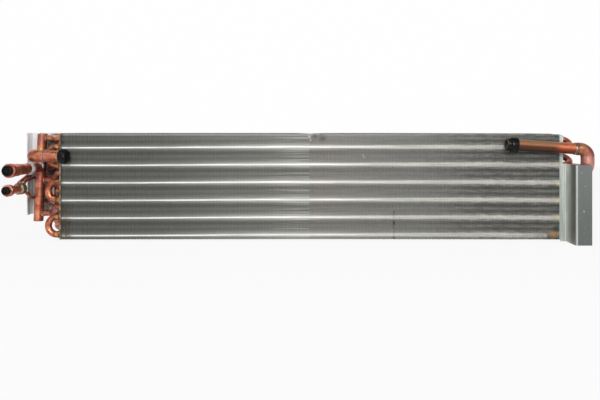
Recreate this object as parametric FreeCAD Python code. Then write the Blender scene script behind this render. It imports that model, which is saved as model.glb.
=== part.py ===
import FreeCAD, Part
import math
import os

# Fin-and-tube evaporator coil with a heater row behind it, for an air conditioner.
# X runs along the tubes, Y from the front (air in) face to the rear, Z up, all in mm.
# The origin is the middle of the bottom of the fin pack, which is what the coil stands on.

# How far a cutter runs past the solid that it cuts
past = 1.0

# Tube field: staggered rows, numbered from the front, with tubes numbered from the top
finned_length = 720.0
tube_pitch = 25.4
row_pitch = 22.0
tubes_per_row = 6
fin_edge = 0.6
tube_drop = 1.3
tube_od = 9.525
tube_fit = 0.05
front_row, second_row, third_row, heater_row = 0, 1, 2, 3
row_count = 4

# Fins: the real plates stand about 2 mm apart, and one ridge here stands for three of them
fin_pitch = 2.03
fins_per_ridge = 3
ridge_thickness = 1.4
face_groove = 5.4
edge_groove = 0.7
crushed_corner_length = 11.0
crushed_corner_drop = 3.2

# End plates and the two folded mounting brackets
sheet_thickness = 1.6
sheet_flange = 3.5
sheet_drop = 1.6
sheet_corner_cut = 3.6
fold_radius = 1.0
bracket_thickness = 1.2
right_bracket_top = 109.6
right_bracket_drop = 2.2
right_web_reach = 8.4
right_flange_width = 21.5
right_web_depth = 30.0
left_bracket_bottom = 28.0
left_flange_reach = 60.0
left_web_depth = 25.0
left_step_width = 11.0
left_lip_depth = 15.0
bracket_clearance = 0.5

# Bends and tube ends beyond the end plates
bell_length = 5.0
bell_od = 11.1
left_bend_lead = 3.3
right_bend_lead = 9.0

# Heater connections: pipe, socket elbows, headers and the black shipping caps
pipe_od = 15.9
pipe_wall = 1.0
elbow_od = 17.9
elbow_radius = 11.3
socket_depth = 3.6
left_elbow_run = 4.5
pipe_fit = 0.05
header_wall = 1.0
spigot_step = 2.0
header_entry = 2.0
header_overrun = 6.5
leg_overrun = 9.0
left_cap_od = 20.6
left_cap_length = 11.2
cap_end = 2.0
right_cap_od = 22.4
right_cap_length = 14.4
right_cap_neck = 3.4
right_cap_neck_od = 18.6
cap_edge = 1.0
cap_fit = 0.1
left_leg_gap = 0.6
left_leg_rise = 1.4
left_pipe_stand_off = 13.0
left_pipe_length = 30.7
left_pipe_fall = 0.4
right_leg_gap = 1.0
right_pipe_stand_off = 18.0
right_pipe_length = 99.9
right_pipe_rise = 6.5
right_rim = 0.6

# Suction side: a leaning header, three branches and a straight outlet with a belled mouth
suction_header_od = 14.0
suction_header_depth = 50.0
suction_header_reach = 46.4
suction_header_lean = 6.5
suction_top_overrun = 7.1
suction_foot_overrun = 12.05
branch_drop = 12.5
branch_corner = 7.0
branch_run_out = 0.25
branch_run_in = 0.42
suction_height = 101.4
suction_front = -31.0
suction_joint = -10.0
saddle_gap = 0.3
suction_sleeve_od = 17.5
suction_bell_od = 19.6
suction_bell_length = 7.0
suction_skew = 6.5
suction_plug_od = 15.2

# Liquid side: a belled inlet, a brass distributor and three capillary tubes
outlet_spacing = 27.9
liquid_offset = 5.2
liquid_skew = 3.6
liquid_front = -29.0
liquid_pipe_od = 12.0
liquid_bell_od = 16.6
liquid_bell_length = 6.0
liquid_plug_od = 11.8
plug_stand_out = 4.0
plug_stem = 6.0
plug_shoulder = 1.5
plug_edge = 1.0
bell_cone = 3.0
bell_edge = 0.6
distributor_front = -5.0
distributor_back = 10.4
distributor_od = 17.0
distributor_nose_od = 12.8
distributor_tail_od = 7.0
distributor_seat = 4.0
distributor_nose = 1.0
distributor_shoulder = 1.5
distributor_groove = 0.7
capillary_od = 4.76
capillary_lead = 9.0
capillary_hole = 3.0
capillary_angles = (150.0, 80.0, -60.0)
capillary_gap = 5.4
capillary_lane = 17.0
bend_share = 0.45
spun_length = 6.0
spun_end_od = 5.8

# Sizes that follow from those above
fin_depth = row_count * row_pitch
fin_height = tubes_per_row * tube_pitch + 2 * fin_edge
fin_end = finned_length / 2
sheet_face = fin_end + sheet_thickness
sheet_top = fin_height - sheet_drop
bell_face = sheet_face + bell_length
bend_radius = tube_pitch / 2
suction_header_x = -bell_face - suction_header_reach
liquid_x = suction_header_x - liquid_offset
liquid_height = suction_height - outlet_spacing
LEFT = FreeCAD.Vector(-1, 0, 0)
RIGHT = FreeCAD.Vector(1, 0, 0)
BACK = FreeCAD.Vector(0, 1, 0)
UP = FreeCAD.Vector(0, 0, 1)


def at(x, depth, z):
    """A point whose depth is measured back from the front face of the fins."""
    return FreeCAD.Vector(x, depth - fin_depth / 2, z)


def tube_depth(row):
    return row_pitch * (row + 0.5)


def tube_height(row, number):
    """Height of a tube's axis: rows are staggered by half a pitch, number 1 is the top tube."""
    quarter = 0.25 if row % 2 == 0 else 0.75
    return fin_edge - tube_drop + tube_pitch * (tubes_per_row - number + quarter)


def tube_point(row, number, x):
    return at(x, tube_depth(row), tube_height(row, number))


def all_tubes():
    return [(row, number) for row in range(row_count) for number in range(1, tubes_per_row + 1)]


def rod(start, end, diameter):
    """A round bar from one point to another."""
    along = end - start
    return Part.makeCylinder(diameter / 2, along.Length, start, along)


def cone(start, end, diameter_a, diameter_b):
    along = end - start
    return Part.makeCone(diameter_a / 2, diameter_b / 2, along.Length, start, along)


def block(low, high):
    size = high - low
    return Part.makeBox(size.x, size.y, size.z, low)


def turned_rod(start, heading, inward, radius, angle, diameter):
    """A round bar bent in an arc: it starts along heading and curves towards inward."""
    disc = Part.Face(Part.Wire(Part.makeCircle(diameter / 2, start, heading)))
    return disc.revolve(start + inward * radius, heading.cross(inward), angle)


def bent_rod(points, radii, diameter):
    """A round bar through the points, with a bend radius for each corner between them."""
    pieces = []
    here = points[0]
    for before, vertex, after, radius in zip(points, points[1:], points[2:], radii):
        start, middle, end = corner(before, vertex, after, radius)
        heading = (vertex - before).normalize()
        leaving = (after - vertex).normalize()
        inward = (leaving - heading * leaving.dot(heading)).normalize()
        turn = math.degrees(heading.getAngle(leaving))
        pieces.append(rod(here, start, diameter))
        pieces.append(turned_rod(start, heading, inward, radius, turn, diameter))
        here = end
    pieces.append(rod(here, points[-1], diameter))
    return pieces[0].multiFuse(pieces[1:]).removeSplitter()


def corner(before, vertex, after, radius):
    """The arc that rounds one corner of a path: its two ends and its middle."""
    back = (before - vertex).normalize()
    ahead = (after - vertex).normalize()
    half = back.getAngle(ahead) / 2
    inward = (back + ahead).normalize()
    reach = radius / math.tan(half)
    middle = vertex + inward * (radius / math.sin(half) - radius)
    return vertex + back * reach, middle, vertex + ahead * reach


def rounded_path(points, radii):
    """Straight runs through the points, with a radius for each corner between them."""
    edges = []
    here = points[0]
    for before, vertex, after, radius in zip(points, points[1:], points[2:], radii):
        start, middle, end = corner(before, vertex, after, radius)
        edges.append(Part.LineSegment(here, start).toShape())
        edges.append(Part.Arc(start, middle, end).toShape())
        here = end
    edges.append(Part.LineSegment(here, points[-1]).toShape())
    return edges


def gentle_radii(points):
    """For each corner, the radius of an arc that takes up most of its shorter run."""
    radii = []
    for before, vertex, after in zip(points, points[1:], points[2:]):
        half = (before - vertex).getAngle(after - vertex) / 2
        shorter = min((vertex - before).Length, (after - vertex).Length)
        radii.append(bend_share * shorter * math.tan(half))
    return radii


def u_bend(a, b, outward, lead, diameter):
    """A straight leg out of one tube, a half circle and a leg back into the other."""
    a_turn = a + outward * lead
    b_turn = b + outward * lead
    across = b - a
    radius = across.Length / 2
    half_ring = turned_rod(a_turn, outward, across.normalize(), radius, 180, diameter)
    legs = [rod(a, a_turn, diameter), rod(b, b_turn, diameter)]
    return half_ring.multiFuse(legs).removeSplitter()


def folded_sheet(points, thickness, bottom, top):
    """A strip with square folds: the points run along one skin and the metal is on their right."""
    near = [FreeCAD.Vector(point.x, point.y, bottom) for point in points]
    across = [(b - a).cross(UP).normalize() * thickness for a, b in zip(near, near[1:])]
    far = [near[0] + across[0]]
    near_radii, far_radii = [], []
    for vertex, before, after in zip(near[1:], across, across[1:]):
        far.append(vertex + before + after)
        turns_left = before.cross(after).z > 0
        near_radii.append(fold_radius if turns_left else fold_radius + thickness)
        far_radii.append(fold_radius + thickness if turns_left else fold_radius)
    far.append(near[-1] + across[-1])
    edges = rounded_path(near, near_radii)
    edges.append(Part.LineSegment(near[-1], far[-1]).toShape())
    edges += rounded_path(far[::-1], far_radii[::-1])
    edges.append(Part.LineSegment(far[0], near[0]).toShape())
    return Part.Face(Part.Wire(edges)).extrude(UP * (top - bottom))


def revolved(origin, axis, stations):
    """A turned piece: stations are pairs of distance along the axis and diameter."""
    side = axis.cross(UP).normalize()
    line = [origin + axis * stations[0][0]]
    line += [origin + axis * along + side * (diameter / 2) for along, diameter in stations]
    line.append(origin + axis * stations[-1][0])
    line.append(line[0])
    profile = Part.Face(Part.makePolygon(line))
    return profile.revolve(origin, axis, 360)


def tube_holes(start_x, end_x):
    """Cutters for every tube of the field between two stations along X."""
    return [
        rod(tube_point(row, number, start_x), tube_point(row, number, end_x), tube_od + 2 * tube_fit)
        for row, number in all_tubes()
    ]


def fin_pack():
    """The block of fins: ridges stand out of a core on all four sides, and tubes pass through."""
    spacing = fin_pitch * fins_per_ridge
    gaps = round(finned_length / spacing)
    step = (finned_length - ridge_thickness) / gaps
    core = block(at(-fin_end, face_groove, edge_groove),
                 at(fin_end, fin_depth - face_groove, fin_height - edge_groove))
    ridges = []
    for index in range(gaps + 1):
        x = -fin_end + index * step
        ridges.append(block(at(x, 0, 0), at(x + ridge_thickness, fin_depth, fin_height)))
    pack = core.multiFuse(ridges)
    pack = pack.cut(crushed_corner())
    return pack.cut(tube_holes(-fin_end - past, fin_end + past)).removeSplitter()


def crushed_corner():
    """The fins' top right edge is bent down, as far as the core, in a short slope."""
    top = fin_height + past
    low = fin_height - crushed_corner_drop
    slope = Part.makePolygon([
        at(fin_end - crushed_corner_length, -past, top),
        at(fin_end - crushed_corner_length, -past, fin_height),
        at(fin_end + past, -past, low),
        at(fin_end + past, -past, top),
        at(fin_end - crushed_corner_length, -past, top),
    ])
    return Part.Face(slope).extrude(BACK * (fin_depth + 2 * past))


def tube_sheet(side):
    """An end plate with one short flange: at the front on the right, at the rear on the left."""
    inner, outer = side * fin_end, side * sheet_face
    plate = block(at(min(inner, outer), 0, 0), at(max(inner, outer), fin_depth, sheet_top))
    flange_depth = 0 if side > 0 else fin_depth - sheet_thickness
    tip = side * (sheet_face + sheet_flange)
    flange = block(at(min(outer, tip), flange_depth, 0),
                   at(max(outer, tip), flange_depth + sheet_thickness, sheet_top))
    edge = 0 if side > 0 else fin_depth
    start = min(inner, tip) - past
    nick = Part.makePolygon([
        at(start, edge - side * past, sheet_top - sheet_corner_cut),
        at(start, edge + side * sheet_corner_cut, sheet_top + past),
        at(start, edge - side * past, sheet_top + past),
        at(start, edge - side * past, sheet_top - sheet_corner_cut),
    ])
    nick = Part.Face(nick).extrude(RIGHT * (abs(tip - inner) + 2 * past))
    sheet = plate.fuse(flange).removeSplitter().cut(nick)
    return sheet.cut(tube_holes(inner - side * past, outer + side * past))


def bracket_right():
    """A folded Z: fixed on the plate's front flange, it steps forward and ends in a wide flange."""
    web_x = sheet_face + right_web_reach
    front = -right_web_depth
    plan = [
        at(sheet_face - bracket_clearance, 0, 0),
        at(web_x, 0, 0),
        at(web_x, front, 0),
        at(web_x + right_flange_width, front, 0),
    ]
    return folded_sheet(plan, bracket_thickness, -right_bracket_drop, right_bracket_top)


def bracket_left():
    """A folded step behind the pipes: out along the rear, forward, out again, and a front lip."""
    start = -sheet_face - bracket_clearance
    web_x = start - left_flange_reach + bracket_thickness
    step_depth = fin_depth - left_web_depth
    lip_x = web_x - left_step_width
    plan = [
        at(start, fin_depth, 0),
        at(web_x, fin_depth, 0),
        at(web_x, step_depth, 0),
        at(lip_x, step_depth, 0),
        at(lip_x, step_depth - left_lip_depth, 0),
    ]
    return folded_sheet(plan, bracket_thickness, left_bracket_bottom, fin_height)


def bell(row, number):
    """The belled left end of a tube, in which its return bend is brazed."""
    return rod(tube_point(row, number, -sheet_face), tube_point(row, number, -bell_face), bell_od)


def hairpin(first, second):
    """One long tube bent double: two legs through the fins, joined on the right."""
    return u_bend(tube_point(*first, -bell_face), tube_point(*second, -bell_face), RIGHT,
                  bell_face + sheet_face + right_bend_lead, tube_od)


def evaporator_hairpin(first, second):
    return hairpin(first, second).fuse([bell(*first), bell(*second)]).removeSplitter()


def rear_hairpin(first, second):
    """A hairpin of the third row, whose inlet end is spun down to a capillary's size."""
    nose = cone(tube_point(*first, -bell_face), tube_point(*first, -bell_face - spun_length),
                tube_od, spun_end_od)
    return hairpin(first, second).fuse([nose, bell(*second)]).removeSplitter()


def heater_hairpin(first, second):
    """A hairpin of the heater row, whose first leg runs on into the left header."""
    entry = rod(tube_point(*first, -bell_face), left_entry(*first), tube_od)
    return hairpin(first, second).fuse([entry, bell(*second)]).removeSplitter()


def heater_tube(number):
    """A straight heater tube: a bell on the left, and its right end in the right header."""
    tube = rod(tube_point(heater_row, number, -bell_face), right_entry(heater_row, number), tube_od)
    return tube.fuse(bell(heater_row, number)).removeSplitter()


def return_bend(first, second):
    """A short U brazed into two belled tube ends on the left."""
    return u_bend(tube_point(*first, -bell_face), tube_point(*second, -bell_face), LEFT,
                  left_bend_lead, tube_od)


def bend_outer_x():
    """How far the left return bends reach."""
    return bell_face + left_bend_lead + bend_radius + tube_od / 2


def left_leg_x():
    return -(bend_outer_x() + left_leg_gap + pipe_od / 2)


def right_leg_x():
    """The right leg nests between two hairpin bends, a little outside their middle."""
    turn_x = sheet_face + right_bend_lead
    return turn_x + bend_radius + tube_od / 2 + right_leg_gap + pipe_od / 2 - nesting()


def nesting():
    """How far the right leg can move in where it passes between two of the slanted bends."""
    touch = pipe_od / 2 + tube_od / 2 + right_leg_gap
    spread = [math.radians(angle) for angle in range(0, 91, 5)]
    needed = []
    for angle in spread:
        rise = tube_pitch / 2 - tube_pitch / 4 * math.sin(angle)
        needed.append(bend_radius * math.cos(angle) + math.sqrt(max(touch ** 2 - rise ** 2, 0)))
    return bend_radius + touch - max(needed)


def left_entry(row, number):
    """Where a heater tube ends, just inside the left header's wall."""
    return tube_point(row, number, left_leg_x() + pipe_od / 2 - header_entry)


def right_entry(row, number):
    return tube_point(row, number, right_leg_x() - pipe_od / 2 + header_entry)


def heater_header(x, low, high, tubes, leg_height):
    """An upright pipe closed at both ends, with a hole for each tube and one for the leg."""
    depth = tube_depth(heater_row)
    low_end = at(x, depth, low)
    high_end = at(x, depth, high)
    header = rod(low_end, high_end, pipe_od)
    hollow = rod(low_end + UP * header_wall, high_end - UP * header_wall, pipe_od - 2 * header_wall)
    cutters = [hollow]
    for number in tubes:
        mouth = tube_point(heater_row, number, 0)
        cutters.append(rod(at(x, depth, mouth.z), mouth, tube_od + 2 * tube_fit))
    cutters.append(rod(at(x, depth, leg_height), at(x, 0, leg_height), leg_spigot_od() + 2 * pipe_fit))
    return header.cut(cutters)


def leg_spigot_od():
    """The leg's end is swaged down, so that it enters the header's wall."""
    return pipe_od - 2 * spigot_step


def heater_leg(x, height, front):
    """The pipe that runs forward from a header to an elbow, with a spigot in the header's wall."""
    depth = tube_depth(heater_row)
    shoulder = depth - pipe_od / 2
    body = rod(at(x, shoulder, height), at(x, front, height), pipe_od)
    spigot = rod(at(x, shoulder, height), at(x, shoulder + header_entry, height), leg_spigot_od())
    return body.fuse(spigot).removeSplitter()


def heater_header_left():
    top = tube_height(heater_row, 1) + header_overrun
    bottom = tube_height(heater_row, tubes_per_row) - header_overrun
    return heater_header(left_leg_x(), bottom, top, (1, tubes_per_row), left_leg_height())


def left_leg_height():
    """A little above the second tube of the second row."""
    return tube_height(second_row, 2) + left_leg_rise


def heater_header_right():
    """It gathers the two middle tubes of the heater row."""
    top = right_leg_height() + leg_overrun
    bottom = tube_height(heater_row, 4) - header_overrun
    return heater_header(right_leg_x(), bottom, top, (3, 4), right_leg_height())


def right_leg_height():
    """Midway between the second and third hairpin bends."""
    return (tube_height(front_row, 2) + tube_height(second_row, 3)) / 2


def elbow(inlet, bend, outlet):
    """A socket elbow: a rounded corner, with a socket for a pipe at each end."""
    body = bent_rod([inlet, bend, outlet], [elbow_radius], elbow_od)
    for mouth, inward in ((inlet, bend - inlet), (outlet, bend - outlet)):
        inward.normalize()
        body = body.cut(rod(mouth - inward * past, mouth + inward * socket_depth,
                            pipe_od + 2 * pipe_fit))
    return body


def elbow_reach():
    """From an elbow's corner point to its mouth."""
    return elbow_radius + socket_depth


def left_corner():
    return at(left_leg_x(), -left_pipe_stand_off, left_leg_height())


def left_heading():
    return FreeCAD.Vector(left_pipe_length, 0, -left_pipe_fall).normalize()


def heater_elbow_left():
    corner_point = left_corner()
    return elbow(corner_point + BACK * elbow_reach(), corner_point,
                 corner_point + left_heading() * (elbow_reach() + left_elbow_run))


def heater_leg_left():
    front = -left_pipe_stand_off + elbow_reach() - socket_depth
    return heater_leg(left_leg_x(), left_leg_height(), front)


def open_pipe(start, end):
    """A plain pipe, open at both ends."""
    heading = (end - start).normalize()
    bore = rod(start - heading * past, end + heading * past, pipe_od - 2 * pipe_wall)
    return rod(start, end, pipe_od).cut(bore)


def left_pipe_ends():
    start = left_corner() + left_heading() * (elbow_reach() + left_elbow_run - socket_depth)
    return start, start + left_heading() * (left_pipe_length + socket_depth)


def heater_pipe_left():
    return open_pipe(*left_pipe_ends())


def heater_cap_left():
    """A soft black cap, pushed over the pipe's end as far as its closed end lets it."""
    heading = left_heading()
    pipe_end = left_pipe_ends()[1]
    mouth = pipe_end - heading * (left_cap_length - cap_end)
    body = revolved(mouth, heading, [
        (0, left_cap_od - cap_edge), (cap_edge / 2, left_cap_od),
        (left_cap_length - 2 * cap_edge, left_cap_od), (left_cap_length, left_cap_od - 4 * cap_edge),
    ])
    return body.cut(rod(mouth - heading * past, pipe_end, pipe_od + 2 * cap_fit))


def right_pipe_height():
    """Two elbow reaches above the leg, because the two right elbows meet face to face."""
    return right_leg_height() + 2 * elbow_reach()


def right_corner():
    return at(right_leg_x(), -right_pipe_stand_off, right_pipe_height())


def right_heading():
    return FreeCAD.Vector(-right_pipe_length, 0, right_pipe_rise).normalize()


def heater_elbow_upper_right():
    corner_point = right_corner()
    return elbow(elbow_joint(), corner_point, corner_point + right_heading() * elbow_reach())


def elbow_joint():
    """Where the mouths of the two right elbows meet."""
    return at(right_leg_x(), -right_pipe_stand_off, right_leg_height() + elbow_reach())


def heater_elbow_lower_right():
    corner_point = at(right_leg_x(), -right_pipe_stand_off, right_leg_height())
    return elbow(elbow_joint(), corner_point, corner_point + BACK * elbow_reach())


def heater_nipple_right():
    """The short pipe inside the sockets of the two right elbows."""
    joint = elbow_joint()
    return rod(joint - UP * (socket_depth - pipe_fit), joint + UP * (socket_depth - pipe_fit), pipe_od)


def heater_leg_right():
    front = -right_pipe_stand_off + elbow_reach() - socket_depth
    return heater_leg(right_leg_x(), right_leg_height(), front)


def right_pipe_ends():
    start = right_corner() + right_heading() * (elbow_reach() - socket_depth)
    return start, start + right_heading() * (right_pipe_length + socket_depth)


def heater_pipe_right():
    return open_pipe(*right_pipe_ends())


def heater_cap_right():
    """The right cap is a necked sleeve: the pipe's rim shows past it, closed by the cap's plug."""
    end = right_pipe_ends()[1]
    heading = right_heading()
    mouth = end - heading * (right_rim + right_cap_length)
    shoulder = right_cap_length - right_cap_neck
    sleeve = revolved(mouth, heading, [
        (0, right_cap_od - 2 * cap_edge), (cap_edge, right_cap_od),
        (shoulder - cap_edge, right_cap_od), (shoulder, right_cap_neck_od),
        (right_cap_length, right_cap_neck_od),
    ])
    return sleeve.cut(rod(mouth - heading * past, end + heading * past, pipe_od + 2 * cap_fit))


def heater_plug_right():
    """The plug inside the right pipe's mouth."""
    end = right_pipe_ends()[1]
    heading = right_heading()
    return rod(end - heading * plug_stem, end - heading * cap_fit, pipe_od - 2 * (pipe_wall + pipe_fit))


def suction_header_ends():
    """The heights of the suction header's foot and top."""
    foot = tube_height(second_row, 5) - branch_drop - suction_foot_overrun
    return foot, tube_height(second_row, 1) + suction_top_overrun


def suction_header_point(z):
    """The suction header leans: its foot stands further out than its top."""
    foot, top = suction_header_ends()
    share = (z - foot) / (top - foot)
    return at(suction_header_x + suction_header_lean * (share - 0.5), suction_header_depth, z)


def suction_axis():
    """From the header's axis to the mouth of the outlet, a little askew."""
    root = suction_header_point(suction_height)
    mouth = at(root.x - suction_skew, suction_front, suction_height)
    return root, mouth


def suction_station(depth):
    root, mouth = suction_axis()
    share = (suction_header_depth - depth) / (suction_header_depth - suction_front)
    return root + (mouth - root) * share


def branch_path(number):
    """From a second-row tube's bell out, down and back to the suction header's axis."""
    start = tube_point(second_row, number, -bell_face)
    drop = 0 if number == 1 else branch_drop
    target = suction_header_point(start.z - drop)
    reach = start.x - target.x
    first = start + LEFT * (reach * branch_run_out)
    last = target + RIGHT * (reach * branch_run_in)
    return [start, first, last, target]


def suction_header():
    """A pipe closed at both ends, with holes for the branches and the outlet."""
    bottom, top = [suction_header_point(z) for z in suction_header_ends()]
    lean = (top - bottom).normalize()
    header = rod(bottom, top, suction_header_od)
    bore = suction_header_od - 2 * header_wall
    cutters = [rod(bottom + lean * header_wall, top - lean * header_wall, bore)]
    for number in (1, 3, 5):
        path = branch_path(number)
        cutters.append(rod(path[-1], path[-2], tube_od + 2 * tube_fit))
    root = suction_axis()[0]
    cutters.append(rod(root, suction_station(0), spigot_od() + 2 * pipe_fit))
    return header.cut(cutters)


def spigot_od():
    """The outlet's end is swaged to enter the suction header."""
    return suction_header_od - 2 * spigot_step + 2 * pipe_fit


def suction_branch(number):
    """A brazed branch pipe that ends just inside the header's wall."""
    points = branch_path(number)
    inward = (points[-1] - points[-2]).normalize()
    points[-1] = points[-1] - inward * (suction_header_od / 2 - header_entry)
    return bent_rod(points, [branch_corner, branch_corner], tube_od)


def suction_pipe():
    """The outlet pipe, from a spigot in the header's wall to inside the front sleeve."""
    shoulder = suction_station(suction_header_depth - suction_header_od / 2 - saddle_gap)
    spigot_end = suction_station(suction_header_depth - suction_header_od / 2 + header_entry)
    joint = suction_station(suction_joint)
    front = joint + (joint - shoulder).normalize() * (socket_depth - pipe_fit)
    return rod(shoulder, front, pipe_od).fuse(rod(spigot_end, shoulder, spigot_od())).removeSplitter()


def belled_stub(mouth, back, stub_od, outer_od, length, plug_od):
    """A stub that widens to a bell at its mouth, with a bore there for its plug's stem."""
    heading = (back - mouth).normalize()
    stub = revolved(mouth, heading, [
        (0, outer_od - 2 * bell_edge), (bell_edge, outer_od), (length, outer_od),
        (length + bell_cone, stub_od), ((back - mouth).Length, stub_od),
    ])
    bore_end = mouth + heading * (plug_stem + past)
    return stub.cut(rod(mouth - heading * past, bore_end, plug_od - 2 * plug_shoulder + 2 * cap_fit))


def suction_sleeve():
    """The sleeve brazed over the outlet pipe, with a belled mouth."""
    mouth = suction_station(suction_front)
    back = suction_station(suction_joint)
    sleeve = belled_stub(mouth, back, suction_sleeve_od, suction_bell_od, suction_bell_length,
                         suction_plug_od)
    heading = (back - mouth).normalize()
    return sleeve.cut(rod(back - heading * socket_depth, back + heading * past, pipe_od + 2 * pipe_fit))


def plug(mouth, inward, diameter):
    """A black shipping plug: a stem in the bore and a round head in front."""
    stem = diameter - 2 * plug_shoulder
    return revolved(mouth, inward, [
        (-plug_stand_out, diameter - 2 * plug_edge), (-plug_stand_out + plug_edge, diameter),
        (0, diameter), (0, stem), (plug_stem, stem),
    ])


def suction_plug():
    mouth = suction_station(suction_front)
    inward = (suction_station(suction_joint) - mouth).normalize()
    return plug(mouth, inward, suction_plug_od)


def liquid_point(depth):
    """A point of the liquid inlet's axis, which stands out a little to the side at its mouth."""
    share = (distributor_back - depth) / (distributor_back - liquid_front)
    return at(liquid_x - liquid_skew * share, depth, liquid_height)


def liquid_heading():
    """From the liquid inlet's mouth back to the distributor's tail."""
    return (liquid_point(distributor_back) - liquid_point(liquid_front)).normalize()


def liquid_inlet():
    """The inlet stub: a belled mouth in front, and its back end seated in the distributor."""
    mouth = liquid_point(liquid_front)
    back = liquid_point(distributor_front + distributor_seat - pipe_fit)
    return belled_stub(mouth, back, liquid_pipe_od, liquid_bell_od, liquid_bell_length, liquid_plug_od)


def liquid_plug():
    return plug(liquid_point(liquid_front), liquid_heading(), liquid_plug_od)


def tail_direction(angle):
    """Capillaries leave the distributor's tail slanting back and away from its axis."""
    turn = math.radians(angle)
    return FreeCAD.Vector(math.cos(turn), 1, math.sin(turn)).normalize()


def capillary_start(angle):
    """The middle of the tail's slanting face, on one side."""
    turn = math.radians(angle)
    radius = (distributor_od + distributor_tail_od) / 4
    depth = distributor_back - (distributor_od - distributor_tail_od) / 4
    return liquid_point(depth) + FreeCAD.Vector(math.cos(turn), 0, math.sin(turn)) * radius


def distributor():
    """A turned brass body: nose cone, two grooves round the middle and a slanting tail."""
    shoulder = distributor_back - (distributor_od - distributor_tail_od) / 2
    nose = distributor_front + distributor_nose
    belt = nose + distributor_shoulder
    fifth = (shoulder - belt) / 5
    low = distributor_od - 2 * distributor_groove
    body = revolved(liquid_point(0), liquid_heading(), [
        (distributor_front, distributor_nose_od), (nose, distributor_nose_od),
        (belt, distributor_od), (belt + fifth, distributor_od),
        (belt + fifth, low), (belt + 2 * fifth, low),
        (belt + 2 * fifth, distributor_od), (belt + 3 * fifth, distributor_od),
        (belt + 3 * fifth, low), (belt + 4 * fifth, low),
        (belt + 4 * fifth, distributor_od), (shoulder, distributor_od),
        (distributor_back, distributor_tail_od),
    ])
    cutters = [rod(liquid_point(distributor_front - past),
                   liquid_point(distributor_front + distributor_seat), liquid_pipe_od + 2 * pipe_fit)]
    for angle in capillary_angles:
        start = capillary_start(angle)
        outward = tail_direction(angle)
        cutters.append(rod(start - outward * capillary_hole, start + outward * capillary_od,
                           capillary_od + 2 * pipe_fit))
    return body.cut(cutters)


# How each capillary goes round the suction header, chosen by hand and named by the number of its
# tube: angles round the header, from straight behind it towards the outside, and heights in mm
# above the liquid inlet
capillary_ways = {
    1: [(122, 18.5), (66, 20), (3, 23.5)],
    3: [(122, 9.5), (68, 11.5), (0, 13.5)],
    5: [(118, -17.5), (66, -19.5), (0, -23.5)],
}


def beside_header(angle, rise):
    """A point clear of the suction header, at an angle round it."""
    middle = suction_header_point(liquid_height + rise)
    clear = (suction_header_od + capillary_od) / 2 + capillary_gap
    turn = math.radians(angle)
    return middle + FreeCAD.Vector(-math.sin(turn), math.cos(turn), 0) * clear


def capillary_lane_points(number):
    """The first capillary climbs between the third row's bends and the heater's to the top tube."""
    if number != 1:
        return []
    x = -bell_face - capillary_lane
    depth = tube_depth(third_row) + row_pitch / 2
    return [at(x, depth, tube_height(third_row, 2) - capillary_od),
            at(x, depth, tube_height(third_row, 1) - capillary_od)]


def capillary(index, number):
    """A thin tube from the distributor to the spun end of a third-row tube."""
    start = capillary_start(capillary_angles[index])
    outward = tail_direction(capillary_angles[index])
    end = tube_point(third_row, number, -bell_face - spun_length)
    points = [start - outward * (capillary_hole - pipe_fit), start + outward * capillary_lead]
    points += [beside_header(angle, rise) for angle, rise in capillary_ways[number]]
    points += capillary_lane_points(number)
    points += [end + LEFT * capillary_lead, end]
    return bent_rod(points, gentle_radii(points), capillary_od)


def circuits():
    """Every long tube and return bend of the core, by node name."""
    shapes = {}
    for number in range(1, tubes_per_row + 1):
        shapes[f"evaporator_hairpin_{number}"] = evaporator_hairpin(
            (second_row, number), (front_row, number))
    for index in range(tubes_per_row // 2):
        upper, lower = 2 * index + 1, 2 * index + 2
        shapes[f"rear_hairpin_{index + 1}"] = rear_hairpin((third_row, upper), (third_row, lower))
        shapes[f"front_return_bend_{index + 1}"] = return_bend((front_row, upper), (front_row, lower))
        shapes[f"cross_return_bend_{index + 1}"] = return_bend((second_row, lower), (third_row, lower))
    shapes["heater_hairpin_1"] = heater_hairpin((heater_row, 1), (heater_row, 2))
    shapes["heater_hairpin_2"] = heater_hairpin((heater_row, 6), (heater_row, 5))
    shapes["heater_tube_3"] = heater_tube(3)
    shapes["heater_tube_4"] = heater_tube(4)
    shapes["heater_return_bend_1"] = return_bend((heater_row, 2), (heater_row, 3))
    shapes["heater_return_bend_2"] = return_bend((heater_row, 4), (heater_row, 5))
    return shapes


def connections():
    """Headers, elbows, pipes, caps and plugs outside the end plates, by node name."""
    shapes = {
        "heater_header_left": heater_header_left(),
        "heater_leg_left": heater_leg_left(),
        "heater_elbow_left": heater_elbow_left(),
        "heater_pipe_left": heater_pipe_left(),
        "heater_cap_left": heater_cap_left(),
        "heater_header_right": heater_header_right(),
        "heater_leg_right": heater_leg_right(),
        "heater_elbow_lower_right": heater_elbow_lower_right(),
        "heater_nipple_right": heater_nipple_right(),
        "heater_elbow_upper_right": heater_elbow_upper_right(),
        "heater_pipe_right": heater_pipe_right(),
        "heater_cap_right": heater_cap_right(),
        "heater_plug_right": heater_plug_right(),
        "suction_header": suction_header(),
        "suction_pipe": suction_pipe(),
        "suction_sleeve": suction_sleeve(),
        "suction_plug": suction_plug(),
        "liquid_inlet": liquid_inlet(),
        "liquid_plug": liquid_plug(),
        "distributor": distributor(),
    }
    for index, number in enumerate((1, 3, 5)):
        shapes[f"suction_branch_{index + 1}"] = suction_branch(number)
        shapes[f"capillary_{index + 1}"] = capillary(index, number)
    return shapes


def main():
    shapes = {
        "fin_pack": fin_pack(),
        "tube_sheet_left": tube_sheet(-1),
        "tube_sheet_right": tube_sheet(1),
        "bracket_left": bracket_left(),
        "bracket_right": bracket_right(),
    }
    shapes.update(circuits())
    shapes.update(connections())
    os.makedirs("parts", exist_ok=True)
    for name, shape in shapes.items():
        shape.exportStep(f"parts/{name}.step")
        print(name, len(shape.Solids), shape.isValid(), round(shape.Volume, 1))


main()
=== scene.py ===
import math
import random

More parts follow.
